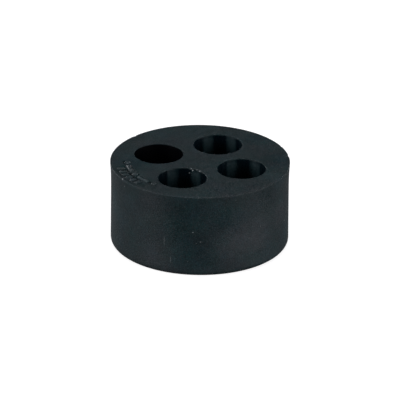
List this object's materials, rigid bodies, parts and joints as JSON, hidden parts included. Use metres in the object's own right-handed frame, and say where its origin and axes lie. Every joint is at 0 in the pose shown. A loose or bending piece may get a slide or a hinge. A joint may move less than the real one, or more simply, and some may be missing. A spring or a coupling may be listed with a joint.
{
  "type": "multi-hole gland sealing insert",
  "caption": "Round rubber sealing insert for a cable gland: a thick disc with a slightly flared upper rim and parallel through holes that each seal on a cable.",
  "frame": {"origin": "centre of the lower face, which lies in the plane Z = 0", "axes": "+Z runs along the insert's axis towards the flared rim and the moulded mark; +X and +Y each pass through the axis of a cable hole"},
  "size_m": [0.026, 0.026, 0.0127],
  "materials": {
    "rubber": "moulded, dull satin"
  },
  "bodies": {
    "root": {"sealing_insert": "rubber"}
  },
  "joints": []
}
